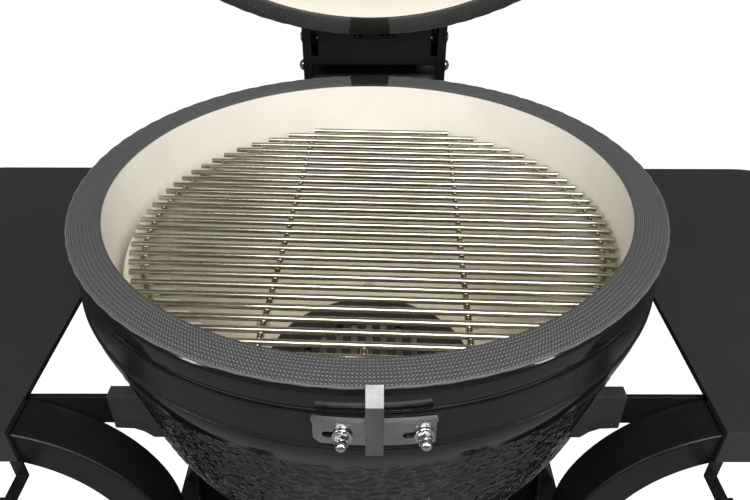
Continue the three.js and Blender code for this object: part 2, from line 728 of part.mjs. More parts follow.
place("draft_screen", draftScreen(), "steel");
place("cradle", cradle(), "black");

for (const [side, sx] of [["left", -1], ["right", 1]]) {
  place(`shelf_${side}`, shelf(sx), "shelf");
  place(`tool_hook_${side}`, toolHook(sx), "black");
  place(`side_rail_${side}`, sideRail(sx), "black");
  for (const end of ["front", "rear"]) {
    place(`leg_${end}_${side}`, leg(sx, end), "black");
    place(`pad_${end}_${side}`, pad(sx, end), "rubber");
    const caster = new THREE.Group();
    caster.position.set(sx * RAIL_X, end === "front" ? -215 : 204, 0);
    grill.add(caster);
    place(`caster_fork_${end}_${side}`, casterFork(), "steel", caster);
    place(`caster_wheel_${end}_${side}`, casterWheel(), "rubber", caster);
    if (end === "front") place(`brake_pedal_${side}`, brakePedal(), "black", caster);
  }
}
for (const end of ["front", "rear"]) place(`cross_rail_${end}`, crossRail(end), "black");

// The floor under the middle of the whole grill is the origin.
const bounds = new THREE.Box3().setFromObject(root, true);
grill.position.y = -(bounds.min.y + bounds.max.y) / 2;

export default root;
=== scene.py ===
import json
import math

import bpy
from mathutils import Matrix, Vector

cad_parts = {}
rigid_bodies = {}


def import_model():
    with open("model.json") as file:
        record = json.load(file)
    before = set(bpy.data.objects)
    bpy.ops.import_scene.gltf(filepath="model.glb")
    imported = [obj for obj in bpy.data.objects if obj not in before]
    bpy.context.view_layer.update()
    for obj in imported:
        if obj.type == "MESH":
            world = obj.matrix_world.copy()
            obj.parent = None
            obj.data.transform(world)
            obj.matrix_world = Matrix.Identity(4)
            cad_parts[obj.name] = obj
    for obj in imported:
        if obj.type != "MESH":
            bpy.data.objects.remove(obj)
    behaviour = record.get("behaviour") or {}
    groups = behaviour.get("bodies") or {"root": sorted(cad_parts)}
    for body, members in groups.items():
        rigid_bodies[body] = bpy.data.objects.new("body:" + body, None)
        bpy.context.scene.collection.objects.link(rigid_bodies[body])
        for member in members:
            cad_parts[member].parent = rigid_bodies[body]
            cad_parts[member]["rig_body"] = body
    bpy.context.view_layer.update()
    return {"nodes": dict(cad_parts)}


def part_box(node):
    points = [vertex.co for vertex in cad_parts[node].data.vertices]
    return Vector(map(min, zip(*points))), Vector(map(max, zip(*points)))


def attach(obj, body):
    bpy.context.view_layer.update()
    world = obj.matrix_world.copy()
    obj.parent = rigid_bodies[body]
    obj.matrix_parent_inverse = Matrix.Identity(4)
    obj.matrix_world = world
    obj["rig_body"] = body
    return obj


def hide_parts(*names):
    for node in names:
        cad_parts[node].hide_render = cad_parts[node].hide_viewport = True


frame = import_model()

# ---- The studio ----
# A pale sweep of floor under a big soft box, with a long box at each side that draws the thin
# highlights on the glaze. The camera stands in front of the grill and looks down into it.
bowl_low, bowl_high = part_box("base_shell")
rim = Vector(((bowl_low.x + bowl_high.x) / 2, (bowl_low.y + bowl_high.y) / 2, bowl_high.z + 0.0024))
scene = bpy.context.scene
scene.view_settings.view_transform = "Standard"

camera = bpy.data.objects.new("camera", bpy.data.cameras.new("camera"))
scene.collection.objects.link(camera)
scene.camera = camera
camera.data.lens = 32.64
camera.data.sensor_width = 36
camera.data.clip_end = 50
look = Matrix.Rotation(math.radians(-0.26), 4, "Z") @ Matrix.Rotation(math.radians(90 - 34.8), 4, "X")
look = look @ Matrix.Rotation(math.radians(0.26), 4, "Z")
camera.matrix_world = Matrix.Translation(rim + Vector((0.004, -0.5698, 0.3134))) @ look

world = bpy.data.worlds.new("studio")
scene.world = world
world.use_nodes = True
sky = world.node_tree
shown = sky.nodes.new("ShaderNodeBackground")
shown.inputs["Color"].default_value = (1, 1, 1, 1)
shown.inputs["Strength"].default_value = 1.0
fill = sky.nodes["Background"]
fill.inputs["Color"].default_value = (1, 1, 1, 1)
fill.inputs["Strength"].default_value = 0.16
ray = sky.nodes.new("ShaderNodeLightPath")
chosen = sky.nodes.new("ShaderNodeMixShader")
sky.links.new(ray.outputs["Is Camera Ray"], chosen.inputs["Fac"])
sky.links.new(fill.outputs[0], chosen.inputs[1])
sky.links.new(shown.outputs[0], chosen.inputs[2])
sky.links.new(chosen.outputs[0], sky.nodes["World Output"].inputs["Surface"])


def soft_box(name, place, aim, width, height, watts):
    lamp = bpy.data.lights.new(name, "AREA")
    lamp.shape = "RECTANGLE"
    lamp.size = width
    lamp.size_y = height
    lamp.energy = watts
    holder = bpy.data.objects.new(name, lamp)
    scene.collection.objects.link(holder)
    turn = (Vector(aim) - Vector(place)).to_track_quat("-Z", "Y")
    holder.matrix_world = Matrix.Translation(place) @ turn.to_matrix().to_4x4()


soft_box("overhead_box", (0.2, -1.7, 3.0), (0, 0.1, 0.8), 1.8, 1.4, 80)
soft_box("left_box", (-2.2, -1.5, 2.0), (0, 0, 0.7), 0.3, 2.2, 26)
soft_box("right_box", (2.2, -1.5, 2.0), (0, 0, 0.7), 0.3, 2.2, 26)


def new_finish(name, color, roughness, metallic=0.0):
    made = bpy.data.materials.new(name)
    made.use_nodes = True
    tree = made.node_tree
    shader = tree.nodes["Principled BSDF"]
    shader.inputs["Base Color"].default_value = (*color, 1)
    shader.inputs["Roughness"].default_value = roughness
    shader.inputs["Metallic"].default_value = metallic
    return made, tree, shader


def node(tree, kind, links=(), **settings):
    """Adds a node; settings are its options, links pairs of a socket and the value or output it gets."""
    added = tree.nodes.new(kind)
    for key, value in settings.items():
        setattr(added, key, value)
    for socket, value in links:
        if isinstance(value, bpy.types.NodeSocket):
            tree.links.new(value, added.inputs[socket])
        else:
            added.inputs[socket].default_value = value
    return added


def maths(tree, operation, *values):
    return node(tree, "ShaderNodeMath", enumerate(values), operation=operation).outputs[0]


bpy.ops.object.select_all(action="DESELECT")
bpy.ops.mesh.primitive_plane_add(size=14)
floor = bpy.context.active_object
floor.name = "floor"
floor_paint, sheet, floor_shader = new_finish("floor_paint", (0.3, 0.3, 0.3), 0.9)
seen = sheet.nodes.new("ShaderNodeLightPath").outputs["Is Camera Ray"]
floor_shader.inputs["Emission Color"].default_value = (1, 1, 1, 1)
sheet.links.new(maths(sheet, "MULTIPLY", seen, 0.95), floor_shader.inputs["Emission Strength"])
floor.data.materials.append(floor_paint)

# ---- The bowl ----
# One thick casting of fired ceramic: black glaze outside, pebbled below a smooth shoulder, and bare
# cream ceramic inside, except low in the ash space, where the black glaze is put on as painted shade.
# It stands in the cradle; a steel band is clamped into the seat at its rim.
# Pieces are drawn in millimetres from the middle of the rim, and set in place with these.
MM = Matrix.Scale(0.001, 4)
to_row = Matrix.Translation(rim)


def started(piece, name):
    piece.name = name
    piece.data.name = name
    return piece


def only(piece):
    bpy.ops.object.select_all(action="DESELECT")
    piece.select_set(True)
    bpy.context.view_layer.objects.active = piece


def applied(piece, modifier):
    only(piece)
    bpy.ops.object.modifier_apply(modifier=modifier.name)
    return piece


def spun(name, outline, steps, angle=360.0, start=0.0, loop=False):
    """Turns an outline of (radius, height) points about the upright axis, from the start angle on."""
    bpy.ops.object.select_all(action="DESELECT")
    bpy.ops.mesh.primitive_plane_add(size=1)
    piece = started(bpy.context.active_object, name)
    bpy.ops.object.mode_set(mode="EDIT")
    bpy.ops.mesh.merge(type="CENTER")
    here = Vector((outline[0][0], 0, outline[0][1]))
    bpy.ops.transform.translate(value=here)
    for radius, height in outline[1:]:
        there = Vector((radius, 0, height))
        bpy.ops.mesh.extrude_vertices_move(TRANSFORM_OT_translate={"value": there - here})
        here = there
    bpy.ops.mesh.select_all(action="SELECT")
    if loop:
        first = Vector((outline[0][0], 0, outline[0][1]))
        bpy.ops.mesh.select_all(action="DESELECT")
        bpy.ops.object.mode_set(mode="OBJECT")
        for vertex in piece.data.vertices:
            vertex.select = (vertex.co - first).length < 1e-4 or (vertex.co - here).length < 1e-4
        bpy.ops.object.mode_set(mode="EDIT")
        bpy.ops.mesh.edge_face_add()
        bpy.ops.mesh.select_all(action="SELECT")
    if start:
        bpy.ops.transform.rotate(value=math.radians(-start), orient_axis="Z", center_override=(0, 0, 0))
    if loop and angle < 360:
        bpy.ops.mesh.edge_face_add()
    bpy.ops.mesh.spin(steps=steps, angle=math.radians(angle), center=(0, 0, 0), axis=(0, 0, -1))
    if loop and angle < 360:
        bpy.ops.mesh.edge_face_add()
    bpy.ops.mesh.select_all(action="SELECT")
    bpy.ops.mesh.remove_doubles(threshold=0.01)
    bpy.ops.mesh.normals_make_consistent(inside=False)
    bpy.ops.object.mode_set(mode="OBJECT")
    return piece


def eased(points, count):
    """A run of points along the smooth curve through a few."""
    ends = [Vector(p) for p in (points[0], *points, points[-1])]
    run = []
    for k in range(count + 1):
        at = k / count * (len(points) - 1)
        i = min(int(at), len(points) - 2)
        t = at - i
        a, b, c, d = ends[i:i + 4]
        bend = 2 * b + t * (c - a) + t * t * (2 * a - 5 * b + 4 * c - d)
        run.append(tuple((bend + t ** 3 * (3 * b - a - 3 * c + d)) / 2))
    return run


def smooth(piece, angle=35.0):
    only(piece)
    bpy.ops.object.shade_smooth_by_angle(angle=math.radians(angle))
    return piece


def cut_by(piece, cutter, operation="DIFFERENCE"):
    bite = piece.modifiers.new("bite", "BOOLEAN")
    bite.object = cutter
    bite.operation = operation
    bite.solver = "EXACT"
    applied(piece, bite)
    bpy.data.objects.remove(cutter)
    return piece


def block(low, high, name="block"):
    bpy.ops.object.select_all(action="DESELECT")
    bpy.ops.mesh.primitive_cube_add(size=1)
    piece = started(bpy.context.active_object, name)
    low, high = Vector(low), Vector(high)
    piece.data.transform(Matrix.Translation((low + high) / 2) @ Matrix.Diagonal((*(high - low), 1)))
    return piece


def fitted(piece, materials, body, nodes=(), place=to_row):
    """Sets a finished piece in its place, riding on a body and standing for its CAD nodes."""
    piece.data.transform(place @ MM @ piece.matrix_world)
    piece.matrix_world = Matrix.Identity(4)
    if materials:
        piece.data.materials.clear()
        for material in materials:
            piece.data.materials.append(material)
    if nodes:
        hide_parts(*nodes)
    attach(piece, body)
    return piece


def own_place(tree, place, scale=(1, 1, 1)):
    """Object coordinates taken back to the frame that the piece was drawn in, in metres."""
    spot = node(tree, "ShaderNodeTexCoord").outputs["Object"]
    back = place.inverted()
    drawn = node(tree, "ShaderNodeMapping", [("Vector", spot), ("Rotation", back.to_euler()),
                 ("Location", back.to_translation())]).outputs[0]
    return node(tree, "ShaderNodeMapping", [("Vector", drawn), ("Scale", scale)]).outputs[0]


def ranged(tree, factor, low, high, start=0.0, end=1.0):
    return node(tree, "ShaderNodeMapRange", [("Value", factor), ("From Min", start),
                ("From Max", end), ("To Min", low), ("To Max", high)]).outputs[0]


def blended(tree, factor, low, high, start=0.0, end=1.0):
    """A colour between two, as the factor goes from start to end."""
    mix = node(tree, "ShaderNodeMix", data_type="RGBA")
    tree.links.new(ranged(tree, factor, 0.0, 1.0, start, end), mix.inputs[0])
    mix.inputs[6].default_value = (*low, 1)
    mix.inputs[7].default_value = (*high, 1)
    return mix.outputs[2]


def noise(tree, spot, scale, detail=3.0):
    return node(tree, "ShaderNodeTexNoise", [("Vector", spot), ("Scale", float(scale)),
                ("Detail", detail)]).outputs["Fac"]


def bumped(tree, height, depth, under=None):
    links = [("Height", height), ("Distance", depth), ("Strength", 1.0)]
    if under is not None:
        links.append(("Normal", under))
    return node(tree, "ShaderNodeBump", links).outputs[0]


PEBBLES_PER_METRE = 80.0
PEBBLE_SQUASH = (1, 1, 1.45)
PEBBLE_DEPTH = 0.9


def pebble_height(tree, spot):
    """Rounded pebbles parted by creases: 0 in a crease, 1 on top. Used on the mesh and in the glaze."""
    drift = node(tree, "ShaderNodeTexNoise", [("Vector", spot), ("Scale", 45.0), ("Detail", 2.0)])
    away = node(tree, "ShaderNodeVectorMath", [(0, drift.outputs["Color"]), (1, (0.5, 0.5, 0.5))],
                operation="SUBTRACT").outputs[0]
    bent = node(tree, "ShaderNodeVectorMath", [(0, away), (1, (0.012, 0.012, 0.012)), (2, spot)],
                operation="MULTIPLY_ADD").outputs[0]
    cells = node(tree, "ShaderNodeTexVoronoi", [("Vector", bent), ("Scale", PEBBLES_PER_METRE),
                 ("Randomness", 0.85)], feature="DISTANCE_TO_EDGE").outputs["Distance"]
    return node(tree, "ShaderNodeMapRange", [("Value", cells), ("From Min", 0.0), ("From Max", 0.3)],
                interpolation_type="SMOOTHSTEP").outputs[0]


def pebbled(piece, smooth_to, full_from):
    """Presses the pebbles into the outer skin: none at the first height, full depth at the second."""
    mask = piece.data.attributes.new("pebble", "FLOAT", "POINT")
    for vertex, slot in zip(piece.data.vertices, mask.data):
        rise = (vertex.co.z - smooth_to) / (full_from - smooth_to)
        outward = vertex.normal.xy.dot(vertex.co.xy.normalized()) > 0 and vertex.co.xy.length > 60
        slot.value = min(max(rise, 0), 1) if outward else 0
    group = bpy.data.node_groups.new("pebbles", "GeometryNodeTree")
    for way in ("INPUT", "OUTPUT"):
        group.interface.new_socket("Geometry", in_out=way, socket_type="NodeSocketGeometry")
    place = node(group, "GeometryNodeInputPosition").outputs[0]
    spot = node(group, "ShaderNodeVectorMath", [(0, place), (1, tuple(0.001 * s for s in
                PEBBLE_SQUASH))], operation="MULTIPLY").outputs[0]
    named = node(group, "GeometryNodeInputNamedAttribute", [("Name", "pebble")], data_type="FLOAT")
    sunk = maths(group, "SUBTRACT", pebble_height(group, spot), 1.0)
    depth = maths(group, "MULTIPLY", maths(group, "MULTIPLY", sunk, named.outputs[0]), PEBBLE_DEPTH)
    shift = node(group, "ShaderNodeVectorMath", [(0, node(group, "GeometryNodeInputNormal").outputs[0]),
                 ("Scale", depth)], operation="SCALE").outputs[0]
    pressed = node(group, "GeometryNodeSetPosition", [("Geometry", node(group,
                   "NodeGroupInput").outputs[0]), ("Offset", shift)])
    group.links.new(pressed.outputs[0], node(group, "NodeGroupOutput").inputs[0])
    press = piece.modifiers.new("press", "NODES")
    press.node_group = group
    return applied(piece, press)


def black_glaze(name, place):
    made, tree, shader = new_finish(name, (0.008, 0.008, 0.009), 0.1)
    spot = own_place(tree, place, PEBBLE_SQUASH)
    mask = node(tree, "ShaderNodeAttribute", attribute_name="pebble").outputs["Fac"]
    pebbles = maths(tree, "MULTIPLY", pebble_height(tree, spot), mask)
    cloud = noise(tree, spot, 14)
    tree.links.new(blended(tree, cloud, (0.005, 0.005, 0.006), (0.010, 0.010, 0.011), 0.3, 0.7),
                   shader.inputs["Base Color"])
    tree.links.new(ranged(tree, noise(tree, spot, 260, 2.0), 0.06, 0.13, 0.3, 0.7),
                   shader.inputs["Roughness"])
    flow = bumped(tree, noise(tree, spot, 60, 2.0), 0.00012)
    creased = bumped(tree, pebbles, 0.0006, flow)
    tree.links.new(bumped(tree, noise(tree, spot, 420, 2.0), 0.00002, creased),
                   shader.inputs["Normal"])
    return made


def bare_ceramic(name, place, tint):
    made, tree, shader = new_finish(name, tint, 0.62)
    spot = own_place(tree, place)
    pale = tuple(min(1.0, c * 1.04) for c in tint)
    dull = tuple(c * m for c, m in zip(tint, (0.94, 0.92, 0.89)))
    tree.links.new(blended(tree, noise(tree, spot, 9, 4.0), dull, pale, 0.3, 0.7),
                   shader.inputs["Base Color"])
    grain = noise(tree, spot, 700)
    tree.links.new(ranged(tree, grain, 0.55, 0.72, 0.3, 0.7), shader.inputs["Roughness"])
    wash = bumped(tree, noise(tree, spot, 40, 2.0), 0.0003)
    tree.links.new(bumped(tree, grain, 0.00012, wash), shader.inputs["Normal"])
    return made


egg = eased([(264.5, -84), (257, -118), (250, -150), (240, -195), (221, -245), (194, -295),
             (163, -340), (128, -380)], 118)
bowl_inside = eased([(241, -62), (230, -130), (214, -195), (195, -245), (168, -295), (140, -336),
                     (118, -360)], 9)
bowl = spun("bowl_casting", [
    (0, -398), (94, -398), (104, -396.5), (114, -391), *reversed(egg), (266.6, -77), (268.4, -70),
    (269, -62), (268.4, -59.8), (266.6, -58.6), (266, -57.8), (266, -28.2), (267.2, -27.2),
    (267.3, -26), (268.6, -25), (268.7, -22.8), (267.8, -22.3), (267.8, -21.6), (269, -21.1),
    (269, -10), (268.3, -6.9), (266.8, -4.7), (264.6, -3.1), (262, -2.4), (244, -2.4), (242.5, -2.9),
    (242, -4.2), *bowl_inside, (104.5, -372), (0, -372)], 600)
pebbled(bowl, -84, -92)
cut_by(bowl, block((-80, -300, -362), (0, -60, -322)))
smooth(bowl, 50)
fitted(bowl, [black_glaze("bowl_glaze_and_painted_shade", to_row), bare_ceramic("bowl_ceramic", to_row,
       (0.83, 0.80, 0.73))], "base", ["base_shell"])
# Inward faces more than 275 mm below the rim keep the black glaze: painted shade for the dark ash space, where
# the real bowl is bare ceramic.
for face in bowl.data.polygons:
    spot = face.center - rim
    inward = face.normal.xy.dot(spot.xy) < 0 or face.normal.z > 0.7
    face.material_index = int(inward and spot.z > -0.275 and spot.xy.length < 0.262)

# ---- The fire ring and the fire box ----
# Two bare ceramic liners that stack inside the bowl. The box holds the charcoal on an iron grate
# and has a ring of air holes; the ring above it carries the cooking grate.
liner_ceramic = bare_ceramic("liner_ceramic", to_row, (0.78, 0.73, 0.61))
ring_liner = spun("fire_ring_liner", [(184, -154.6), (216, -154.6), (217.5, -153), (229, -110),
                  (236, -65), (234.5, -62.6), (198, -62.6), (194, -64), (192.6, -67)], 192, loop=True)
smooth(ring_liner, 40)
fitted(ring_liner, [liner_ceramic], "base", ["fire_ring"])
box_liner = spun("fire_box_liner", [
    (184, -155), (215.5, -155), (217, -156.5), (206, -195), (184, -250), (166, -275), (140, -281),
    (100, -285), (100, -371.6), (84, -371.6), (84, -285), (82, -270), (82, -252), (84, -250),
    (158, -250), (164, -247), (170, -236), (177, -195)], 192, loop=True)
for k in range(6):
    turn = math.radians(30 + 60 * k)
    bpy.ops.object.select_all(action="DESELECT")
    bpy.ops.mesh.primitive_cylinder_add(vertices=32, radius=9, depth=70, location=(
        153 * math.cos(turn), 153 * math.sin(turn), -262))
    drill = bpy.context.active_object
    cut_by(box_liner, drill)
cut_by(box_liner, block((-83, -300, -365), (3, -60, -319)))
smooth(box_liner, 40)
fitted(box_liner, [liner_ceramic], "base", ["fire_box"])

# ---- The charcoal grate ----
# A round cast iron plate with long slots, lying loose on the floor of the fire box.


def bevelled(piece, width, segments=2, angle=35.0):
    """Breaks every edge sharper than the angle."""
    smooth(piece, angle)
    bevel = piece.modifiers.new("bevel", "BEVEL")
    bevel.width = width
    bevel.segments = segments
    bevel.limit_method = "ANGLE"
    bevel.angle_limit = math.radians(angle)
    bevel.harden_normals = True
    return applied(piece, bevel)


def cast_iron(name, tint=0.012):
    made, tree, shader = new_finish(name, (tint, tint, tint), 0.62)
    spot = node(tree, "ShaderNodeTexCoord").outputs["Object"]
    sand = noise(tree, spot, 420, 4.0)
    tree.links.new(blended(tree, noise(tree, spot, 30), (tint * 0.7,) * 3, (tint * 1.7, tint * 1.6,
                   tint * 1.5), 0.3, 0.7), shader.inputs["Base Color"])
    tree.links.new(ranged(tree, sand, 0.5, 0.75, 0.3, 0.7), shader.inputs["Roughness"])
    tree.links.new(bumped(tree, sand, 0.0003), shader.inputs["Normal"])
    return made


coal_plate = spun("charcoal_plate", [(0, -249.6), (118, -249.6), (118, -241.6), (0, -241.6)], 128)
for k in range(-4, 5):
    half = math.sqrt(78 ** 2 - (k * 18) ** 2)
    slot_cutter = block((k * 18 - 4, -half, -256), (k * 18 + 4, half, -235))
    only(slot_cutter)
    bpy.ops.object.mode_set(mode="EDIT")
    bpy.ops.mesh.select_all(action="SELECT")
    bpy.ops.mesh.bevel(offset=3.9, segments=4, affect="EDGES")
    bpy.ops.object.mode_set(mode="OBJECT")
    slot_cutter.data.transform(Matrix.Translation((0, 0, -245.5)) @ Matrix.Diagonal((1, 1, 6, 1))
                               @ Matrix.Translation((0, 0, 245.5)))
    cut_by(coal_plate, slot_cutter)
bevelled(coal_plate, 0.8)
fitted(coal_plate, [cast_iron("black_iron")], "charcoal_grate", ["charcoal_grate"])

# ---- The cooking grate ----
# Round rods of polished stainless steel, cut square and welded on to a ring and two cross rods
# under them. The whole grate lies loose on the fire ring.


def rods(name, runs, radius, sides=20):
    """Straight rods between pairs of points, in one piece."""
    bpy.ops.object.select_all(action="DESELECT")
    bpy.ops.mesh.primitive_cylinder_add(vertices=sides, radius=radius, depth=1)
    first = bpy.context.active_object
    started(first, name)
    shape = first.data.copy()
    made = []
    for a, b in runs:
        a, b = Vector(a), Vector(b)
        turn = (b - a).to_track_quat("Z", "Y").to_matrix().to_4x4()
        rod = bpy.data.objects.new(name, shape.copy())
        scene.collection.objects.link(rod)
        rod.data.transform(Matrix.Translation((a + b) / 2) @ turn @ Matrix.Diagonal((1, 1, (b - a).length, 1)))
        made.append(rod)
    return joined(name, [*made, first][:-1], first)


def joined(name, pieces, spare=None):
    if spare is not None:
        bpy.data.objects.remove(spare)
    bpy.ops.object.select_all(action="DESELECT")
    for piece in pieces:
        piece.select_set(True)
    bpy.context.view_layer.objects.active = pieces[0]
    if len(pieces) > 1:
        bpy.ops.object.join()
    return started(bpy.context.active_object, name)


def polished_rod(name, place):
    """Drawn stainless rod: bright, with fine streaks along it and a little straw tint."""
    made, tree, shader = new_finish(name, (0.70, 0.68, 0.64), 0.17, 1.0)
    spot = own_place(tree, place, (4, 400, 400))
    streak = noise(tree, spot, 1.0)
    warm = noise(tree, own_place(tree, place, (14, 60, 14)), 1.0)
    tree.links.new(blended(tree, warm, (0.40, 0.37, 0.30), (0.54, 0.52, 0.45), 0.35, 0.65),
                   shader.inputs["Base Color"])
    tree.links.new(ranged(tree, streak, 0.10, 0.26, 0.3, 0.7), shader.inputs["Roughness"])
    tree.links.new(bumped(tree, streak, 0.00003), shader.inputs["Normal"])
    return made


grate_place = to_row @ Matrix.Translation((0.005, 0, 0)) @ Matrix.Rotation(math.radians(-2.5), 4, "Z")
bars = []
for k in range(-15, 16):
    y = k * 14.5
    half = math.sqrt(233 ** 2 - y ** 2)
    bars.append(((-half, y, -53), (half, y, -53)))
cross = [((x, -205.1, -59.0), (x, 205.1, -59.0)) for x in (-85, 85)]
cross.append(((0, -222, -59.0), (0, -172, -59.0)))
bar_rods = bevelled(rods("grate_bars", bars, 3.0), 0.45, angle=60)
cross_rods = bevelled(rods("grate_cross_rods", cross, 3.0), 0.45, angle=60)
bpy.ops.object.select_all(action="DESELECT")
bpy.ops.mesh.primitive_torus_add(major_segments=192, minor_segments=14, major_radius=222,
                                 minor_radius=3, location=(0, 0, -58.4))
grate_ring = smooth(started(bpy.context.active_object, "grate_ring"), 60)
grate_ring.data.transform(grate_ring.matrix_world)
grate_ring.matrix_world = Matrix.Identity(4)
grate_steel = polished_rod("grate_steel", grate_place)
fitted(joined("cooking_rods", [bar_rods, cross_rods, grate_ring]), [grate_steel],
       "cooking_grate", ["cooking_grate"], grate_place)

# ---- The gaskets ----
# A flat woven glass-fibre felt with ribs round it, glued on each rim and edged with a twisted
# cord. A smooth black strip covers the joint at the back, next to the hinge.
pivot = Matrix.Translation((0, 0.317, 0.036))
lid_place = to_row @ pivot @ Matrix.Rotation(math.radians(-54.4), 4, "X") @ pivot.inverted()
over_lid = lid_place @ Matrix.Translation((0, 0, 0.0038)) @ Matrix.Diagonal((1, 1, -1, 1))
RIBS = 8
RIB_PITCH = 3.2


def crown(radius, drop=0.0):
    return 1.5 - 0.9 * ((radius - 256) / 12.5) ** 2 - drop


def turned_inside_out(piece):
    only(piece)
    bpy.ops.object.mode_set(mode="EDIT")
    bpy.ops.mesh.select_all(action="SELECT")
    bpy.ops.mesh.normals_make_consistent(inside=False)
    bpy.ops.object.mode_set(mode="OBJECT")


def woven_felt(name, place):
    """Rows of short stitches round the ring, brick fashion; the colour goes from near black in the hollows to
    grey on the raised thread, painted shade and highlight that follow the relief.
    """
    made, tree, shader = new_finish(name, (0.05, 0.05, 0.052), 0.8)
    spot = node(tree, "ShaderNodeSeparateXYZ", [(0, own_place(tree, place))])
    x, y = spot.outputs[0], spot.outputs[1]
    reach = maths(tree, "SQRT", maths(tree, "ADD", maths(tree, "MULTIPLY", x, x),
                                      maths(tree, "MULTIPLY", y, y)))
    across = maths(tree, "DIVIDE", maths(tree, "SUBTRACT", reach, 0.2432), 0.0016)
    along = maths(tree, "MULTIPLY", maths(tree, "ARCTAN2", y, x), 300.0)
    wander = noise(tree, own_place(tree, place), 300, 2.0)
    row = maths(tree, "FLOOR", across)
    shifted = maths(tree, "ADD", maths(tree, "MULTIPLY", row, math.pi / 2),
                    maths(tree, "ADD", along, maths(tree, "MULTIPLY", wander, 0.8)))
    stitch = maths(tree, "ABSOLUTE", maths(tree, "SINE", shifted))
    ridge = maths(tree, "ABSOLUTE", maths(tree, "SINE", maths(tree, "MULTIPLY", across, math.pi)))
    thread = maths(tree, "MULTIPLY", maths(tree, "POWER", stitch, 0.6), maths(tree, "POWER", ridge, 0.5))
    fuzz = noise(tree, own_place(tree, place), 1500, 2.0)
    # Colour follows the stitch relief: near black in the hollows between stitches and ribs, grey on the raised
    # thread. This is painted shade and painted highlight, with random fuzz on top.
    fuzz_and_painted_light = maths(tree, "MULTIPLY", thread, ranged(tree, fuzz, 0.75, 1.2, 0.3, 0.7))
    tree.links.new(blended(tree, fuzz_and_painted_light, (0.012, 0.012, 0.013), (0.15, 0.15, 0.153), 0.15, 1.0),
                   shader.inputs["Base Color"])
    tree.links.new(ranged(tree, thread, 0.95, 0.7), shader.inputs["Roughness"])
    felt = bumped(tree, thread, 0.0006)
    tree.links.new(bumped(tree, fuzz, 0.0001, felt), shader.inputs["Normal"])
    return made


def cord_thread(name, place):
    made, tree, shader = new_finish(name, (0.12, 0.12, 0.12), 0.6)
    fuzz = noise(tree, own_place(tree, place), 1800, 2.0)
    tree.links.new(blended(tree, fuzz, (0.05, 0.05, 0.052), (0.17, 0.17, 0.175), 0.3, 0.7),
                   shader.inputs["Base Color"])
    tree.links.new(bumped(tree, fuzz, 0.0001), shader.inputs["Normal"])
    return made


def black_strip(name):
    made, tree, shader = new_finish(name, (0.012, 0.012, 0.013), 0.5)
    spot = node(tree, "ShaderNodeTexCoord").outputs["Object"]
    tree.links.new(ranged(tree, noise(tree, spot, 140), 0.42, 0.62, 0.3, 0.7), shader.inputs["Roughness"])
    tree.links.new(bumped(tree, noise(tree, spot, 500, 2.0), 0.00015), shader.inputs["Normal"])
    return made


felt_outline = [(242, -1), (242.2, -0.4)]
for k in range(RIBS):
    r = 243.2 + k * RIB_PITCH
    felt_outline += [(r, crown(r, 0.75)), (r + 0.8, crown(r + 0.8, 0.15)), (r + 1.6, crown(r + 1.6)),
                     (r + 2.4, crown(r + 2.4, 0.15))]
felt_outline += [(268.8, -0.3), (269.8, -0.7), (270, -1.4), (269.2, -2.0), (242, -2.0)]
strip_outline = [(241.5, -1.9), (241.5, 0.2), (243.4, 1.0), (250, 1.6), (256, 1.8), (262, 1.6),
                 (268.6, 1.0), (270.7, -0.4), (270.9, -1.9), (270.3, -1.9), (270, -1), (256, 0.4),
                 (242.2, -1), (242.1, -1.9)]
for half, place, body in (("base", to_row, "base"), ("lid", over_lid, "lid")):
    felt = smooth(spun(f"{half}_felt", felt_outline, 256, loop=True), 80)
    bpy.ops.object.select_all(action="DESELECT")
    bpy.ops.mesh.primitive_torus_add(major_segments=1410, minor_segments=8, major_radius=269.4,
                                     minor_radius=1.1)
    cord = started(bpy.context.active_object, f"{half}_felt_edging")
    for vertex in cord.data.vertices:
        ring_angle = math.atan2(vertex.co.y, vertex.co.x)
        centre = Vector((269.4 * math.cos(ring_angle), 269.4 * math.sin(ring_angle), 0))
        spoke = vertex.co - centre
        side = math.atan2(spoke.z, spoke.dot(centre.normalized()))
        vertex.co = centre + spoke * (1 + 0.32 * math.cos(2 * side - 330 * ring_angle))
        vertex.co.z += -0.6
    smooth(cord, 80)
    strip = bevelled(spun(f"{half}_felt_strip", strip_outline, 16, angle=10.6, start=84.7,
                          loop=True), 0.25, angle=50)
    own = lid_place if half == "lid" else to_row
    fitted(felt, [woven_felt(f"{half}_felt_weave", own)], body,
           [f"{half}_gasket"], place)
    fitted(cord, [cord_thread(f"{half}_edging_thread", own)], body, (), place)
    fitted(strip, [black_strip(f"{half}_strip_tape")], body,
           [f"{half}_gasket_patch"], place)
    if half == "lid":
        for piece in (felt, cord, strip):
            turned_inside_out(piece)

# ---- The bands ----
# Black painted steel hoops clamped round each rim; the edge away from the gasket is rolled out.


def black_paint(name, tint=(0.011, 0.011, 0.012), low=0.2, high=0.32, peel=0.00012):
    made, tree, shader = new_finish(name, tint, low)
    shader.inputs["Specular IOR Level"].default_value = 0.3
    spot = node(tree, "ShaderNodeTexCoord").outputs["Object"]
    tree.links.new(blended(tree, noise(tree, spot, 11), tuple(c * 0.8 for c in tint),
                           tuple(c * 1.35 for c in tint), 0.3, 0.7), shader.inputs["Base Color"])
    tree.links.new(ranged(tree, noise(tree, spot, 180, 4.0), low, high, 0.3, 0.7),
                   shader.inputs["Roughness"])
    skin = bumped(tree, noise(tree, spot, 800, 2.0), peel)
    tree.links.new(bumped(tree, noise(tree, spot, 60, 2.0), peel, skin), shader.inputs["Normal"])
    return made


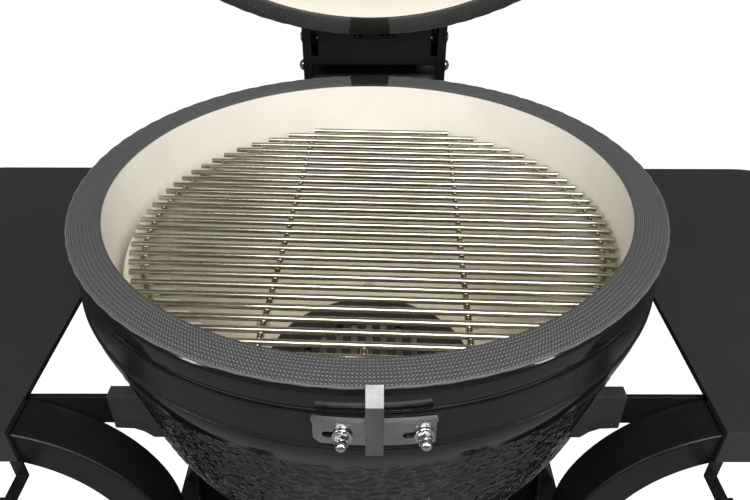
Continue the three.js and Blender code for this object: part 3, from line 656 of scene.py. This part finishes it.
band_paint = black_paint("band_paint")
band_outline = [(266.3, -28), (268.4, -27.9), (269.2, -28.3), (269.4, -29.4), (269.4, -52.5),
                (269.7, -54.4), (270.5, -56), (271, -56.8), (270.8, -57.5), (266.3, -57.6)]
for half, place, body in (("base", to_row, "base"), ("lid", over_lid, "lid")):
    hoop = smooth(spun(f"{half}_hoop", band_outline, 256, loop=True), 32)
    fitted(hoop, [band_paint], body, [f"{half}_band"], place)
    if half == "lid":
        turned_inside_out(hoop)

# ---- The latch ----
# A bracket pressed from brushed stainless sheet, slotted so that its two cap nuts can slide for
# adjustment, and a strap on a pin between two lugs that leans over the gasket.


def brushed_steel(name, tint=(0.62, 0.62, 0.61), streaks=(30, 900, 900), low=0.2, high=0.36):
    made, tree, shader = new_finish(name, tint, low, 1.0)
    spot = node(tree, "ShaderNodeTexCoord").outputs["Object"]
    line = node(tree, "ShaderNodeMapping", [("Vector", spot), ("Scale", streaks)]).outputs[0]
    brush = noise(tree, line, 1.0, 4.0)
    stain = noise(tree, spot, 45)
    tree.links.new(blended(tree, stain, tuple(c * 0.8 for c in tint), tuple(min(1.0, c * 1.15) for c
                   in tint), 0.3, 0.7), shader.inputs["Base Color"])
    tree.links.new(ranged(tree, brush, low, high, 0.3, 0.7), shader.inputs["Roughness"])
    tree.links.new(bumped(tree, brush, 0.00008), shader.inputs["Normal"])
    return made


def to_front(azimuth):
    """Turns a piece drawn along +Z so that it stands out from the bowl's front, at an azimuth."""
    return Matrix.Rotation(math.radians(azimuth), 4, "Z") @ Matrix.Rotation(math.radians(90), 4, "X")


plate_outline = [(272.8, -48.2), (275.3, -48.2), (275.3, -26), (275.6, -24.9), (276.4, -24.3),
                 (278.8, -24.2), (278.8, -22.7), (274.6, -22.7), (273.3, -23.3), (272.8, -24.6)]
half_turn = math.degrees(math.asin(40.5 / 275.3))
bracket = spun("latch_plate", plate_outline, 48, angle=2 * half_turn, start=-90 - half_turn, loop=True)
for x in (-25.5, 27.5):
    cut_by(bracket, block((x - 6.25, -300, -42), (x + 6.25, -200, -36.5)))
    for end in (x - 6.25, x + 6.25):
        bpy.ops.object.select_all(action="DESELECT")
        bpy.ops.mesh.primitive_cylinder_add(vertices=32, radius=2.75, depth=100,
                                            location=(end, -250, -39.25), rotation=(math.pi / 2, 0, 0))
        cut_by(bracket, bpy.context.active_object)
for x in (-40.5, 40.5):
    corner = block((x - 3, -300, -52), (x + 3, -200, -45))
    corner.data.transform(Matrix.Translation((x, 0, -48)) @ Matrix.Rotation(math.radians(45), 4, "Y")
                          @ Matrix.Translation((-x, 0, 48)))
    cut_by(bracket, corner)
lugs = [block((x - 0.9, -280.1, -45.7), (x + 0.9, -274.8, -42.3)) for x in (-4.4, 4.4)]
for lug in lugs:
    bevelled(lug, 0.6, 3, 60)
pin = rods("latch_pin", [((-4.5, -278.4, -44), (4.5, -278.4, -44))], 1.2, 20)
bracket = bevelled(joined("latch_bracket_sheet", [bracket, *lugs, pin]), 0.45, 3, 40)
bracket.data.transform(Matrix.Translation((5.5, 0, 0)))
latch_steel = brushed_steel("latch_steel", (0.34, 0.34, 0.34))
fitted(bracket, [latch_steel], "base", ["latch_bracket"])

strap_side = [(-283, -49.4), (-281, -49.4), (-281, -6.4), (-280.7, -5.6), (-271.3, 4.6),
              (-272.7, 5.9), (-282.6, -4.9), (-283, -5.9)]


def slab(name, outline, low, high):
    """A flat outline of (y, z) points, pulled out along X."""
    bpy.ops.object.select_all(action="DESELECT")
    bpy.ops.mesh.primitive_circle_add(vertices=len(outline), radius=1, fill_type="NGON")
    piece = started(bpy.context.active_object, name)
    for vertex, (y, z) in zip(piece.data.vertices, outline):
        vertex.co = (low, y, z)
    bpy.ops.object.mode_set(mode="EDIT")
    bpy.ops.mesh.select_all(action="SELECT")
    bpy.ops.mesh.extrude_region_move(TRANSFORM_OT_translate={"value": (high - low, 0, 0)})
    bpy.ops.mesh.select_all(action="SELECT")
    bpy.ops.mesh.normals_make_consistent(inside=False)
    bpy.ops.object.mode_set(mode="OBJECT")
    return piece


strap = bevelled(slab("latch_strap_sheet", strap_side, -0.4, 11.4), 0.5, 3, 20)
eye = block((2.7, -281.2, -46.2), (8.3, -278, -41.8))
strap = joined("latch_strap_sheet", [strap, bevelled(eye, 0.5, 2, 40)])
fitted(strap, [brushed_steel("strap_steel", (0.26, 0.26, 0.255), (900, 60, 60), 0.34, 0.5)],
       "latch", ["latch_strap"])

nut_steel = brushed_steel("nut_steel", (0.6, 0.6, 0.59), (60, 60, 60), 0.12, 0.22)
for side, x in (("left", -21), ("right", 32.5)):
    bpy.ops.object.select_all(action="DESELECT")
    bpy.ops.mesh.primitive_cylinder_add(vertices=6, radius=5.4, depth=5.2, location=(0, 0, 4.2))
    hexagon = bpy.context.active_object
    hexagon.data.transform(hexagon.matrix_world)
    hexagon.matrix_world = Matrix.Identity(4)
    dome = spun("dome", [(0, 6), (4.2, 6), (4.1, 8.6), (3.6, 10.4), (2.4, 11.7), (1.2, 12.2), (0, 12.3)], 32)
    washer = spun("washer", [(0, 0), (6.6, 0), (6.8, 0.3), (6.8, 1.3), (6.6, 1.6), (0, 1.6)], 40)
    nut = bevelled(joined(f"cap_nut_{side}", [bevelled(hexagon, 0.5, 2, 30), dome, washer]), 0.12)
    nut.data.transform(Matrix.Translation((5.5, 0, 0)) @ Matrix.Rotation(math.asin(x / 275.3), 4, "Z")
                       @ Matrix.Translation((0, -275.5, -39.5)) @ Matrix.Rotation(math.pi / 2, 4, "X"))
    fitted(nut, [nut_steel], "base", [f"latch_nut_{side}"])

# ---- The hinge ----
# Two folded plates of black painted steel, one bolted behind each band, that turn on a steel rod
# with a domed head at each end. A coil spring round the rod carries part of the lid's weight.


def dressed(source, name, material, width, angle=30.0, segments=2):
    """A merged copy of a CAD node with its edges broken, in a finish of its own."""
    given = frame["nodes"][source]
    piece = bpy.data.objects.new(name, given.data.copy())
    scene.collection.objects.link(piece)
    started(piece, name)
    only(piece)
    bpy.ops.object.mode_set(mode="EDIT")
    bpy.ops.mesh.select_all(action="SELECT")
    bpy.ops.mesh.remove_doubles(threshold=0.00002)
    bpy.ops.mesh.dissolve_limited(angle_limit=math.radians(0.6))
    bpy.ops.mesh.normals_make_consistent(inside=False)
    bpy.ops.object.mode_set(mode="OBJECT")
    bevelled(piece, width / 1000, segments, angle)
    piece.data.materials.clear()
    piece.data.materials.append(material)
    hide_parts(source)
    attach(piece, given["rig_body"])
    return piece


hinge_paint = black_paint("hinge_paint", (0.005, 0.005, 0.0055), 0.28, 0.42)
bolt_steel = brushed_steel("bolt_steel", (0.5, 0.5, 0.49), (60, 60, 60), 0.18, 0.3)
dressed("hinge_base_bracket", "hinge_base_plate", hinge_paint, 0.8)
dressed("hinge_lid_bracket", "hinge_lid_plate", hinge_paint, 0.8)
dressed("hinge_rod", "hinge_pin", bolt_steel, 0.5, 40)
for side in ("left", "right"):
    dressed(f"hinge_bolt_{side}", f"hinge_bolt_head_{side}", bolt_steel, 0.4, 40)

bpy.ops.object.select_all(action="DESELECT")
bpy.ops.mesh.primitive_circle_add(vertices=12, radius=2.2, location=(-30, 10, 0))
coil = started(bpy.context.active_object, "hinge_coil")
coil.data.transform(coil.matrix_world)
coil.matrix_world = Matrix.Identity(4)
wind = coil.modifiers.new("wind", "SCREW")
wind.axis = "X"
wind.screw_offset = 60 / 7
wind.iterations = 7
wind.steps = 40
wind.render_steps = 40
applied(coil, wind)
bpy.ops.object.mode_set(mode="EDIT")
bpy.ops.mesh.select_all(action="SELECT")
bpy.ops.mesh.remove_doubles(threshold=0.001)
bpy.ops.mesh.fill_holes(sides=16)
bpy.ops.mesh.select_all(action="SELECT")
bpy.ops.mesh.normals_make_consistent(inside=False)
bpy.ops.object.mode_set(mode="OBJECT")
coil.data.transform(Matrix.Translation((6, 317, 36)))
fitted(smooth(coil, 60), [black_paint("spring_paint", (0.014, 0.014, 0.014), 0.3, 0.5)],
       "base", ["hinge_spring"])

# ---- The lid ----
# A dome of the same ceramic as the bowl: glazed black and pebbled outside, bare cream inside, with
# a smooth collar at the rim for its band and a hole at the top for the vent.
outer_arc = [(268 * math.cos(math.radians(t)), 70 + 205 * math.sin(math.radians(t)))
             for t in (2 + 0.9 * k for k in range(83))]
inner_arc = [(241 * math.cos(math.radians(t)), 70 + 181 * math.sin(math.radians(t)))
             for t in (76 - 4 * k for k in range(20))]
dome = spun("lid_casting", [
    (242, 8), (242.5, 6.8), (244, 6.2), (262, 6.2), (264.6, 6.9), (266.8, 8.5), (268.3, 10.7),
    (269, 13.8), (269, 25.4), (267.8, 25.9), (267.8, 26.6), (268.6, 27.2), (267.4, 30), (266, 31.6),
    (266, 61.6), (267.2, 63), (268, 66), *outer_arc, (62.5, 268.4), (60, 266), (58, 258), (58, 249),
    *inner_arc, (242, 60)], 600, loop=True)
pebbled(dome, 70, 84)
smooth(dome, 50)
# The lid's inside takes a paler tint than the bowl's, though both are the same ceramic: painted light on the
# lit inside of the open lid.
fitted(dome, [black_glaze("lid_glaze", lid_place), bare_ceramic("lid_ceramic_painted_paler", lid_place,
       (0.88, 0.84, 0.75))], "lid", ["lid_dome"], lid_place)
unlid = lid_place.inverted()
for face in dome.data.polygons:
    spot = unlid @ face.center
    turned_to = unlid.to_3x3() @ face.normal
    face.material_index = int(turned_to.xy.dot(spot.xy) < 0 and spot.xy.length < 0.2425)

# ---- The handle ----
# A steel tube held in front of the lid by two painted brackets on its band.
bracket_paint = black_paint("bracket_paint", (0.012, 0.012, 0.013), 0.3, 0.45)
for side in ("left", "right"):
    dressed(f"handle_bracket_{side}", f"handle_stay_{side}", bracket_paint, 1.0)
grip = spun("grip_tube", [(0, -150), (13, -150), (14.6, -149.4), (15, -148), (15, 148), (14.6, 149.4),
            (13, 150), (0, 150)], 64)
grip.data.transform(Matrix.Translation((0, -338, 52)) @ Matrix.Rotation(math.pi / 2, 4, "Y"))
fitted(smooth(grip, 30), [brushed_steel("grip_steel", (0.6, 0.6, 0.59), (900, 900, 900), 0.24, 0.38)],
       "lid", ["handle_grip"], lid_place)

# ---- The top vent ----
# A cast iron collar through the dome, and a turning disc on it; both have five round openings.
vent_iron = cast_iron("vent_iron", 0.014)
dressed("vent_collar", "vent_casting", vent_iron, 0.8)
dressed("vent_disc", "vent_wheel", vent_iron, 0.8)

# ---- The thermometer ----
# A round steel case with a red pointer, on a stem that goes through the dome.
dressed("thermometer_case", "gauge_case", brushed_steel("gauge_steel", (0.6, 0.6, 0.59),
        (300, 300, 300), 0.2, 0.34), 0.5)
needle_paint, needle_tree, needle_shader = new_finish("needle_paint", (0.62, 0.05, 0.03), 0.4)
needle_tree.links.new(ranged(needle_tree, noise(needle_tree, node(needle_tree,
                      "ShaderNodeTexCoord").outputs["Object"], 400), 0.32, 0.5, 0.3, 0.7),
                      needle_shader.inputs["Roughness"])
dressed("thermometer_needle", "gauge_pointer", needle_paint, 0.15)

# ---- The draft door ----
# A stainless frame on the foot of the bowl, with a plate that slides across the opening and a
# slotted screen behind it.
door_steel = brushed_steel("door_steel", (0.55, 0.55, 0.54), (30, 900, 900), 0.24, 0.4)
dressed("draft_frame", "draft_surround", door_steel, 0.6)
dressed("draft_door", "draft_slider", door_steel, 0.6)
dressed("draft_screen", "draft_grid", door_steel, 0.3)

# ---- The cart ----
# Four bent legs of black box tube, joined by rails at the floor and a round tray under the bowl.
# A flat arm welded inside each leg reaches in to the bowl and ends in a rubber boot.


def side_outline(points, low, high, name, mirror=False):
    """A flat outline of (x, z) points, pulled out along Y; mirrored for the other side."""
    piece = slab(name, points, -high, -low)
    piece.data.transform(Matrix.Rotation(math.radians(-90), 4, "Z"))
    if mirror:
        piece.data.transform(Matrix.Diagonal((-1, 1, 1, 1)))
        turned_inside_out(piece)
    return piece


def arc(x, z, radius, first, last, count):
    return [(x + radius * math.cos(math.radians(first + (last - first) * k / count)),
             z + radius * math.sin(math.radians(first + (last - first) * k / count)))
            for k in range(count + 1)]


leg_paint = black_paint("leg_paint", (0.005, 0.005, 0.0055), 0.3, 0.42)
foot_in = math.degrees(math.asin(432 / 919))
foot_out = math.degrees(math.asin(432 / 887))
leg_points = [(462, -103), *arc(318, -248, 145, 90, 180, 40),
              *arc(1092, -248, 919, 180, 180 + foot_in, 30)[1:],
              *arc(1092, -248, 887, 180 + foot_out, 180, 30),
              *arc(318, -248, 113, 180, 90, 40)[1:], (462, -135)]
for end, leg_y, arm_y in (("front", -197, -175.25), ("rear", 186, 164.25)):
    for side, mirror in (("left", True), ("right", False)):
        tube = bevelled(side_outline(leg_points, leg_y - 20, leg_y + 20, f"leg_tube_{end}_{side}",
                        mirror), 2.5, 3, 50)
        arm = side_outline([(205, -139), (330, -139), (330, -108), (205, -108)], arm_y - 2.25,
                           arm_y + 2.25, "arm", mirror)
        leg = joined(f"leg_tube_{end}_{side}", [tube, bevelled(arm, 0.5, 2, 50)])
        fitted(leg, [leg_paint], "base", [f"leg_{end}_{side}"])

boot_rubber, boot_tree, boot_shader = new_finish("boot_rubber", (0.045, 0.046, 0.05), 0.62)
boot_spot = node(boot_tree, "ShaderNodeTexCoord").outputs["Object"]
boot_tree.links.new(blended(boot_tree, noise(boot_tree, boot_spot, 60), (0.016, 0.0165, 0.018),
                    (0.028, 0.0285, 0.031), 0.3, 0.7), boot_shader.inputs["Base Color"])
boot_tree.links.new(bumped(boot_tree, noise(boot_tree, boot_spot, 900), 0.0001),
                    boot_shader.inputs["Normal"])
for end in ("front", "rear"):
    for side in ("left", "right"):
        dressed(f"pad_{end}_{side}", f"boot_{end}_{side}", boot_rubber, 1.2, 40, 3)
    dressed(f"cross_rail_{end}", f"cross_tube_{end}", leg_paint, 2.0, 40, 3)
for side in ("left", "right"):
    dressed(f"side_rail_{side}", f"side_tube_{side}", leg_paint, 2.0, 40, 3)
dressed("cradle", "bowl_tray", leg_paint, 0.8)

# ---- The shelves ----
# Folded sheet steel under a fine charcoal powder coat, with a hook for tools at each front corner.


def powder_coat(name, tint):
    made, tree, shader = new_finish(name, tint, 0.4)
    spot = node(tree, "ShaderNodeTexCoord").outputs["Object"]
    grain = noise(tree, spot, 1100, 3.0)
    tree.links.new(blended(tree, noise(tree, spot, 6, 4.0), tuple(c * 0.88 for c in tint),
                           tuple(c * 1.14 for c in tint), 0.3, 0.7), shader.inputs["Base Color"])
    tree.links.new(ranged(tree, grain, 0.34, 0.5, 0.3, 0.7), shader.inputs["Roughness"])
    tree.links.new(bumped(tree, grain, 0.00012), shader.inputs["Normal"])
    return made


shelf_coat = powder_coat("shelf_coat", (0.020, 0.020, 0.021))
for side in ("left", "right"):
    dressed(f"shelf_{side}", f"folded_shelf_{side}", shelf_coat, 1.4, 40, 4)
    dressed(f"tool_hook_{side}", f"hook_strip_{side}", leg_paint, 0.5, 40, 2)

# ---- The casters ----
# Plated forks with black rubber wheels; the front two have a pedal that locks the wheel.
fork_steel = brushed_steel("fork_steel", (0.5, 0.5, 0.5), (200, 200, 200), 0.25, 0.4)
tyre, tyre_tree, tyre_shader = new_finish("tyre_rubber", (0.025, 0.025, 0.026), 0.7)
tyre_spot = node(tyre_tree, "ShaderNodeTexCoord").outputs["Object"]
tyre_tree.links.new(blended(tyre_tree, noise(tyre_tree, tyre_spot, 90), (0.018, 0.018, 0.019),
                    (0.035, 0.035, 0.036), 0.3, 0.7), tyre_shader.inputs["Base Color"])
tyre_tree.links.new(bumped(tyre_tree, noise(tyre_tree, tyre_spot, 700), 0.0001),
                    tyre_shader.inputs["Normal"])
pedal_paint = black_paint("pedal_paint", (0.012, 0.012, 0.013), 0.35, 0.5)
for end, caster_y in (("front", -215), ("rear", 204)):
    for side, x in (("left", -297), ("right", 297)):
        dressed(f"caster_fork_{end}_{side}", f"fork_{end}_{side}", fork_steel, 0.6)
        wheel = spun(f"wheel_{end}_{side}", [
            (4.4, -13), (8.6, -13), (9, -12.6), (12, -9.4), (24, -9), (25.5, -11.6), (26.5, -12),
            (31, -11.4), (33.2, -9), (34, -5), (34, 5), (33.2, 9), (31, 11.4), (26.5, 12),
            (25.5, 11.6), (24, 9), (12, 9.4), (9, 12.6), (8.6, 13), (4.4, 13)], 64, loop=True)
        wheel.data.transform(Matrix.Translation((x, caster_y - 22, -781)) @ Matrix.Rotation(
            math.pi / 2, 4, "Y"))
        fitted(smooth(wheel, 40), [tyre], f"wheel_{end}_{side}",
               [f"caster_wheel_{end}_{side}"])
        if end == "front":
            dressed(f"brake_pedal_{side}", f"brake_tread_{side}", pedal_paint, 1.0)
